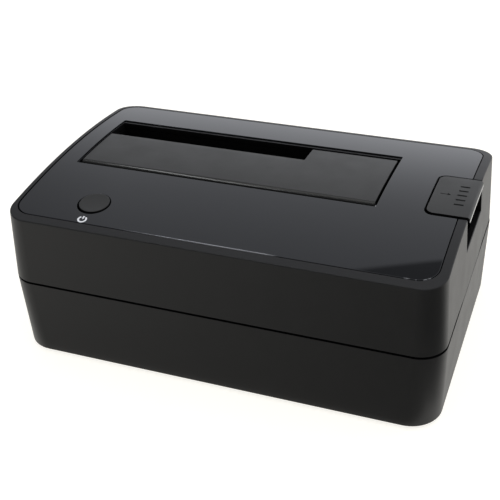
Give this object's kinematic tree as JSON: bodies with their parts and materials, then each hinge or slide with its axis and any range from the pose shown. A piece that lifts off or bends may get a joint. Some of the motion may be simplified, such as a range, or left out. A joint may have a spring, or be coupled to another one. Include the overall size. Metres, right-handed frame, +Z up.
{
  "type": "hard drive docking station",
  "caption": "Black desktop dock for bare hard drives: two-shell case, glossy crowned top with a sprung flap over the drive bay, a power button and a press-down eject key.",
  "frame": {"origin": "centre of the footprint, on the surface the rubber feet stand on", "axes": "+X along the long front face to the right as seen from the front, +Y to the back where the sockets are, +Z up"},
  "size_m": [0.1434, 0.0918, 0.0551],
  "materials": {
    "case_plastic": "fine-textured matte black",
    "plate_gloss": "polished black",
    "key_plastic": "satin black",
    "inner_plastic": "moulded black",
    "steel": "drawn steel",
    "black_steel": "black zinc",
    "tin_shell": "tin plated",
    "gilt": "gold flash",
    "board": "solder mask",
    "socket_black": "moulded",
    "socket_blue": "moulded",
    "nylon": "natural nylon",
    "chip": "moulded epoxy",
    "ferrite": "sintered",
    "can": "sleeved can",
    "led": "clear epoxy",
    "foot_rubber": "moulded rubber",
    "cable": "flat cable sheath"
  },
  "bodies": {
    "case": {"lower_case": "case_plastic", "upper_case": "case_plastic", "top_plate": "plate_gloss", "flap_hinge_pin": "steel", "flap_spring": "steel", "drive_bay": "inner_plastic", "eject_springs": "steel", "eject_guide": "inner_plastic", "eject_lever_pin": "steel", "power_switch": "chip", "switch_board": "board", "status_led": "led", "switch_header": "nylon", "switch_cable_plugs": "nylon", "switch_cable": "cable", "board_header": "nylon", "main_board": "board", "sata_socket": "socket_black", "sata_contacts": "gilt", "usb_shell": "tin_shell", "usb_tongue": "socket_blue", "usb_contacts": "gilt", "dc_jack": "socket_black", "dc_jack_pin": "tin_shell", "bridge_chip": "chip", "memory_chip": "chip", "crystal": "tin_shell", "power_inductors": "ferrite", "capacitors": "can", "case_screws": "black_steel", "board_screws": "steel", "bay_screws": "steel", "guide_screws": "steel", "switch_board_screws": "steel", "rubber_feet": "foot_rubber"},
    "flap": {"drive_flap": "key_plastic"},
    "power_key": {"power_button": "key_plastic", "switch_plunger": "inner_plastic"},
    "eject_key": {"eject_button": "key_plastic", "eject_post_clips": "steel"},
    "lever": {"eject_lever": "inner_plastic"}
  },
  "joints": [
    {"name": "flap_hinge", "type": "hinge", "parent": "case", "child": "flap", "pos_m": [0, -0.0064, 0.05198], "axis": [1, 0, 0], "range_deg": [-88, 0], "stiffness_Nm_per_rad": 0.02, "springref_deg": 20.05, "deforming": ["flap_spring"]},
    {"name": "power_press", "type": "slide", "parent": "case", "child": "power_key", "axis": [0, 0, 1], "range_m": [-0.0012, 0], "stiffness_N_per_m": 800, "springref_m": 0.0005},
    {"name": "eject_press", "type": "slide", "parent": "case", "child": "eject_key", "axis": [0, 0, 1], "range_m": [-0.007, 0], "stiffness_N_per_m": 400, "springref_m": 0.004, "deforming": ["eject_springs"]},
    {"name": "eject_lever_turn", "type": "hinge", "parent": "case", "child": "lever", "pos_m": [0.032, 0.0135, 0.0104], "axis": [0, 1, 0], "range_deg": [0, 13.5]}
  ],
  "couplings": [
    {"joint": "eject_lever_turn", "follows": "eject_press", "rad_per_m": -33.41}
  ]
}
